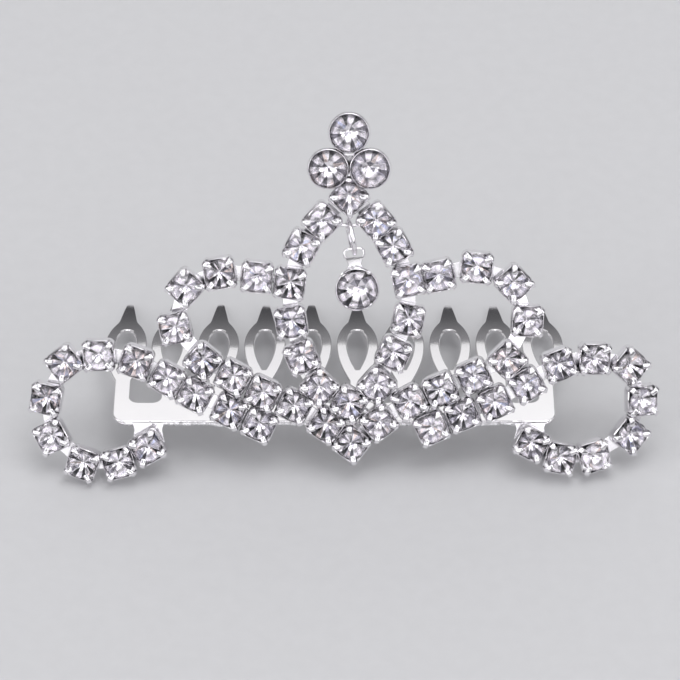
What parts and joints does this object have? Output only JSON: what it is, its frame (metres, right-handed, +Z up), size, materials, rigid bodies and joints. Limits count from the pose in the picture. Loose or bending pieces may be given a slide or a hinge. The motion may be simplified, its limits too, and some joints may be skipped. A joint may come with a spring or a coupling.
{
  "type": "tiara comb",
  "caption": "Small bridal tiara of claw-set clear rhinestones with scrolled ends, a trefoil peak and a hanging drop, soldered to a looped hair comb.",
  "frame": {"origin": "on the floor under the middle of the whole piece as it rests on its two scrolls and on the tips of the comb", "axes": "+X to the right as the crown's face is seen, +Y to the back, towards the tips of the comb, +Z up"},
  "size_m": [0.0956, 0.0418, 0.0513],
  "materials": {
    "silver_plating": "bright silver plating on brass cups, links and bezels",
    "comb_metal": "bright silver plating on stamped steel",
    "clear_glass": "clear cut glass with foiled backs"
  },
  "bodies": {
    "tiara": {"comb": "comb_metal", "claw_frame": "silver_plating", "stones_left_scroll": "clear_glass", "stones_right_scroll": "clear_glass", "stones_garland": "clear_glass", "stones_centre_arch": "clear_glass", "trefoil_setting": "silver_plating", "trefoil_stone_top": "clear_glass", "trefoil_stone_left": "clear_glass", "trefoil_stone_right": "clear_glass"},
    "ring": {"jump_ring": "silver_plating"},
    "drop": {"drop_setting": "silver_plating", "drop_stone": "clear_glass"}
  },
  "joints": [
    {"name": "ring_swing", "type": "hinge", "parent": "tiara", "child": "ring", "pos_m": [0.00076, 0.00035, 0.03488], "axis": [1, 0, 0], "range_deg": [-35, 45]},
    {"name": "drop_swing", "type": "hinge", "parent": "ring", "child": "drop", "pos_m": [0.0015, -0.00178, 0.03124], "axis": [0, -0.8636, 0.5041], "range_deg": [-30, 14]}
  ]
}
